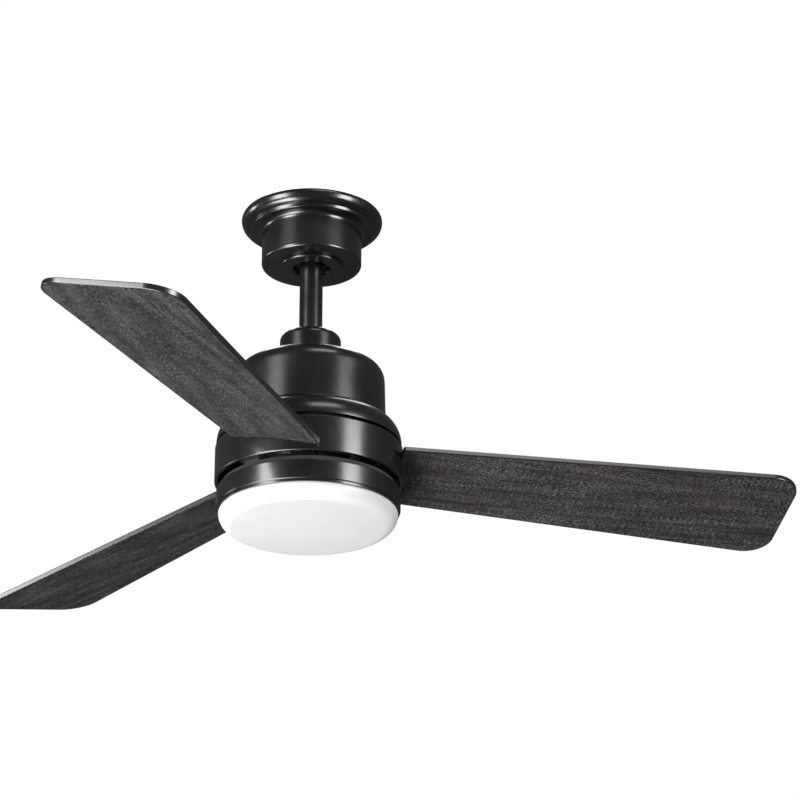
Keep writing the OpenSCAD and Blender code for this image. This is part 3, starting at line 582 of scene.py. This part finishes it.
# Materials for the CAD nodes that are shown as they are, by the record's material slots.
slot_materials = {
    "zinc_steel": metal("zinc_steel", (0.55, 0.56, 0.56), 0.34, (1, 1, 9), 90, 0.8),
    "bearing_steel": metal("bearing_steel", (0.66, 0.66, 0.67), 0.16, (1, 1, 40), 50, 0.9, 0.04),
    "green_steel": plastic("green_paint", (0.02, 0.16, 0.05), 0.34),
    "dark_cast": metal("dark_cast", (0.055, 0.055, 0.06), 0.5, (1, 1, 1), 420, 0.7, 0.35),
    "black_steel": metal("black_oxide", (0.03, 0.03, 0.034), 0.38, (1, 1, 1), 500, 0.7, 0.1),
    "cast_aluminium": metal("cast_aluminium", (0.60, 0.61, 0.62), 0.40, (1, 1, 1), 300, 0.82, 0.25),
    "lamination": laminations(),
    "copper": windings(),
    "brass_cage": metal("brass", (0.62, 0.42, 0.14), 0.24, (1, 1, 6), 120, 0.8, 0.08),
    "black_plastic": plastic("black_plastic", (0.016, 0.016, 0.017)),
    "white_plastic": plastic("white_plastic", (0.70, 0.70, 0.67)),
    "orange_plastic": plastic("orange_plastic", (0.72, 0.14, 0.012), 0.35),
    "lead_insulation": plastic("lead_insulation", (0.03, 0.03, 0.034), 0.3, 1.5, 1400),
    "gasket_rubber": plastic("gasket_rubber", (0.014, 0.014, 0.014), 0.7, 1.45, 500),
    "white_board": plastic("white_board", (0.80, 0.80, 0.80), 0.25, 1.55, 1200),
    "phosphor": phosphor(),
}


# --- pieces ----------------------------------------------------------------------------------


def add_piece(obj, node, body, slot, *materials):
    """Gives a piece its materials and its body, and hides the CAD node that it stands for. The slot argument
    is not used.
    """
    for material in materials:
        obj.data.materials.append(material)
    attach(obj, body)
    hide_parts(node)


def hole(cx, cy, radius):
    """Outline of a round hole."""
    last = HOLE_STEPS - 1
    return arc(cx, cy, radius, radius, 0, 360 * last / HOLE_STEPS, last)


def keyhole_cutters():
    """Cutters for the canopy's two keyholes: the arc slots, the holes for the heads and the slots' ends."""
    low, high = (reach - CANOPY_H for reach in KEY_CUT)
    outer, inner = KEY_R + KEY_HALF, KEY_R - KEY_HALF
    turn = math.radians(-KEY_TURN)
    track = arc(0, 0, outer, outer, -KEY_TURN, 0, 16) + arc(0, 0, inner, inner, 0, -KEY_TURN, 16)
    head = hole(KEY_R * math.cos(turn), KEY_R * math.sin(turn), KEY_HEAD_R)
    for outline in (track, head, hole(KEY_R, 0, KEY_END_R)):
        bm = bmesh.new()
        for azimuth in (KEY_AZ, KEY_AZ + 180):
            extrude(bm, outline, low, high, Matrix.Rotation(math.radians(azimuth), 4, "Z"))
        yield build_mesh("keyholes", bm)


def make_canopy():
    """The canopy, cut by its keyholes."""
    canopy = turned("canopy_shell", shell(canopy_outline, CANOPY_WALL))
    for cutter_mesh in keyhole_cutters():
        cut(canopy, cutter_mesh)
    even_shading(canopy)
    add_piece(canopy, "canopy", "canopy", "satin_black", satin_black)


def make_rod():
    """The downrod, cut by its two cross pins' holes."""
    rod = turned("rod", rod_outline())
    bm = bmesh.new()
    across = Matrix.Rotation(math.radians(90), 4, "Y")
    reach = 2 * ROD_R
    for z, radius in ROD_PINS:
        extrude(bm, hole(0, 0, radius), -reach, reach, Matrix.Translation((0, 0, z)) @ across)
    cut(rod, build_mesh("pin_holes", bm))
    even_shading(rod)
    add_piece(rod, "downrod", "suspension", "satin_black", satin_black)


def make_housing():
    """The upper housing, cut by the reverse switch's opening."""
    housing = turned("housing_shell", shell(housing_outline, HOUSING_WALL))
    bm = bmesh.new()
    opening = rounded_box(SWITCH_HALF_W, SWITCH_Z - SWITCH_HALF_H, SWITCH_Z + SWITCH_HALF_H,
                          SWITCH_CORNER)
    facing_back = Matrix.Rotation(math.radians(90), 4, "X")
    extrude(bm, opening, *SWITCH_CUT, facing_back)
    cut(housing, build_mesh("switch_opening", bm))
    even_shading(housing)
    add_piece(housing, "motor_housing", "suspension", "satin_black", satin_black)


def make_band():
    """The turning band, cut by the blades' slots."""
    band = turned("band_shell", band_outline(), 0.3)
    bm = bmesh.new()
    slot = rounded_box(SLOT_HALF, -SLOT_PLAY, BLADE_T + SLOT_PLAY, SLOT_CORNER)
    outward = Matrix(((0, 0, 1, 0), (1, 0, 0, 0), (0, 1, 0, 0), (0, 0, 0, 1)))
    for i in range(1, BLADE_COUNT + 1):
        extrude(bm, slot, *SLOT_CUT, blade_frame(i) @ outward)
    cut(band, build_mesh("blade_slots", bm))
    even_shading(band)
    add_piece(band, "blade_band", "rotor", "satin_black", satin_black)


def make_lens():
    """The opal dish, with its bayonet lugs."""
    bm = bmesh.new()
    revolve(bm, soften(shell(lens_outline, LENS_WALL), 0.4))
    lug_z = LENS_NECK_Z - LUG_T
    lug = [(LENS_NECK_R - 1, lug_z), (LENS_NECK_R + LUG_W, lug_z),
           (LENS_NECK_R + LUG_W, LENS_NECK_Z), (LENS_NECK_R - 1, LENS_NECK_Z)]
    for i in range(LUG_COUNT):
        middle = i * 360 / LUG_COUNT
        revolve(bm, soften(lug, 0.3), middle - LUG_ARC / 2, middle + LUG_ARC / 2, 16)
    lens = new_object("opal_lens", build_mesh("opal_lens", bm))
    even_shading(lens)
    add_piece(lens, "lens", "lens", "opal", opal_acrylic)


def blade_mesh(name):
    """A blade in its own frame: two flat faces with a rounded edge between them."""
    outline = blade_outline()
    rows = []
    for start, centre in ((-90, BLADE_EDGE_R), (0, BLADE_T - BLADE_EDGE_R)):
        for x, z in arc(0, centre, BLADE_EDGE_R, BLADE_EDGE_R, start, start + 90, 5):
            rows.append((inset_outline(outline, BLADE_EDGE_R - x), z))
    bm = bmesh.new()
    rings = [[bm.verts.new((p[0], p[1], z)) for p in points] for points, z in rows]
    count = len(outline)
    for low, high in zip(rings, rings[1:]):
        for k in range(count):
            m = (k + 1) % count
            face = bm.faces.new([low[k], low[m], high[m], high[k]])
            face.material_index = 1
    for ring in (rings[0], rings[-1]):
        bm.faces.new(ring)
    return build_mesh(name, bm)


def make_blade(i, face):
    """Blade i, with its own woodgrain."""
    name = f"laminate_blade_{i}"
    blade = new_object(name, blade_mesh(name))
    blade.data.materials.append(face)
    blade.data.materials.append(edge_foil)
    bm = bmesh.new()
    for x, y in BLADE_SCREWS:
        extrude(bm, hole(x, y, BLADE_HOLE_R), -1, BLADE_T + 1)
    cut(blade, build_mesh("screw_holes", bm))
    # The grain follows the blade, so each point keeps its place in the blade's own frame.
    grain = blade.data.attributes.new("grain", "FLOAT_VECTOR", "POINT")
    for vertex, own in zip(blade.data.vertices, grain.data):
        own.vector = vertex.co
    placed = blade_frame(i)
    placed.translation *= MM
    blade.data.transform(placed)
    even_shading(blade)
    add_piece(blade, f"blade_{i}", "rotor", "blade_laminate")


def make_turned(name, outline, node, body, material):
    """A black piece that is only turned."""
    add_piece(turned(name, outline), node, body, "satin_black", material)


make_canopy()
make_turned("trim_ring_cap", trim_outline(), "canopy_trim_ring", "trim_ring", satin_black)
make_rod()
make_turned("cover", shell(cover_outline, COVER_WALL), "coupling_cover", "suspension", satin_black)
make_housing()
make_band()
make_turned("light_ring_shell", ring_outline(), "light_ring", "suspension", ring_black)
make_lens()
make_blade(1, laminate("laminate_1", (0.13, 0.021, 0.0), 0.43, 0.9, 0.9))
make_blade(2, laminate("laminate_2", (1.71, -0.034, 0.4), 0.42, 0.15, 0.35))
make_blade(3, laminate("laminate_3", (0.87, 0.008, 0.8), 0.41, 0.2, 0.7))

for name in ("trim_ring_cap", "cover", "light_ring_shell"):
    even_shading(bpy.data.objects[name])

# The remaining CAD nodes keep their shapes and get softened edges and a real finish.
for part in frame["record"]["subparts"]:
    node = frame["nodes"][part["node"]]
    material = slot_materials.get(part["material_slot"])
    if node.hide_render or material is None:
        continue
    node.data.materials.clear()
    node.data.materials.append(material)
    bevel = node.modifiers.new("edge", "BEVEL")
    bevel.width, bevel.segments = 0.25 * MM, 2
    bevel.limit_method, bevel.angle_limit = "ANGLE", math.radians(40)


# --- studio ----------------------------------------------------------------------------------


AIM = Vector((0, 0, -0.25))     # the point that every soft box faces, in metres


def make_floor():
    """A wide pale disc, far enough below that the fan hangs free. It throws no light back on the fan."""
    bm = bmesh.new()
    bmesh.ops.create_circle(bm, cap_ends=True, radius=14000, segments=96)
    bmesh.ops.translate(bm, vec=(0, 0, -3000), verts=bm.verts)
    floor = new_object("floor", build_mesh("floor", bm))
    p = Paint("studio_floor")
    cloud = p.noise(p.place(), 0.8, 3, 0.5)
    colour = p.ramp(cloud, (0.3, *grey(0.74)), (0.7, *grey(0.78)))
    floor.data.materials.append(p.finish(colour, p.band(cloud, 0.3, 0.7, 0.8, 0.9)))
    floor.visible_diffuse = floor.visible_glossy = False


def soft_box(name, azimuth, elevation, distance, size, power):
    """A soft box that faces the fan. Azimuth 0 is the camera's side, and grows to its right."""
    light = bpy.data.lights.new(name, "AREA")
    light.shape, light.size, light.size_y, light.energy = "RECTANGLE", size[0], size[1], power
    box = bpy.data.objects.new(name, light)
    bpy.context.scene.collection.objects.link(box)
    a, e = math.radians(azimuth), math.radians(elevation)
    away = Vector((math.sin(a) * math.cos(e), -math.cos(a) * math.cos(e), math.sin(e)))
    box.location = AIM + away * distance
    box.rotation_euler = away.to_track_quat("Z", "Y").to_euler()
    box.visible_camera = False


def overhead_light():
    """Soft light from above and behind, for the upper faces and the floor."""
    light = bpy.data.lights.new("overhead", "SUN")
    light.energy, light.angle = 2.4, math.radians(40)
    sky = bpy.data.objects.new("overhead", light)
    bpy.context.scene.collection.objects.link(sky)
    sky.rotation_euler = Euler((math.radians(-28), 0, 0), "XYZ")


def make_world():
    """White behind the fan, and a dim grey room for the light that reaches it."""
    world = bpy.data.worlds.new("studio")
    world.use_nodes = True
    bpy.context.scene.world = world
    tree = world.node_tree
    room, seen = tree.nodes["Background"], tree.nodes.new("ShaderNodeBackground")
    room.inputs["Color"].default_value, room.inputs["Strength"].default_value = (1, 1, 1, 1), 0.09
    seen.inputs["Color"].default_value, seen.inputs["Strength"].default_value = (1, 1, 1, 1), 1.0
    path, mix = tree.nodes.new("ShaderNodeLightPath"), tree.nodes.new("ShaderNodeMixShader")
    tree.links.new(path.outputs["Is Camera Ray"], mix.inputs["Fac"])
    tree.links.new(room.outputs[0], mix.inputs[1])
    tree.links.new(seen.outputs[0], mix.inputs[2])
    tree.links.new(mix.outputs[0], tree.nodes["World Output"].inputs["Surface"])


def make_camera():
    """Below and in front of the fan, looking up at it."""
    data = bpy.data.cameras.new("camera")
    data.lens, data.sensor_width = 131.56, 36
    data.clip_end = 60
    camera = bpy.data.objects.new("camera", data)
    bpy.context.scene.collection.objects.link(camera)
    camera.location = (0.0468, -3.0574, -1.5432)
    camera.rotation_euler = Euler((math.radians(113.236), 0, math.radians(-1.048)), "XYZ")
    bpy.context.scene.camera = camera


make_floor()
make_world()
overhead_light()
soft_box("box_right", 54, 0, 3.0, (1.15, 2.32), 96)
soft_box("box_left", -50, 0, 3.0, (1.2, 2.34), 101)
soft_box("box_below", -62, -58, 1.6, (1.0, 1.0), 40)
soft_box("edge_top", 24, 48, 3.0, (1.6, 0.6), 11)
soft_box("edge_left", -105, -2, 3.0, (0.5, 1.0), 18)
make_camera()

view = bpy.context.scene.view_settings
view.view_transform, view.look, view.exposure = "Standard", "None", 0
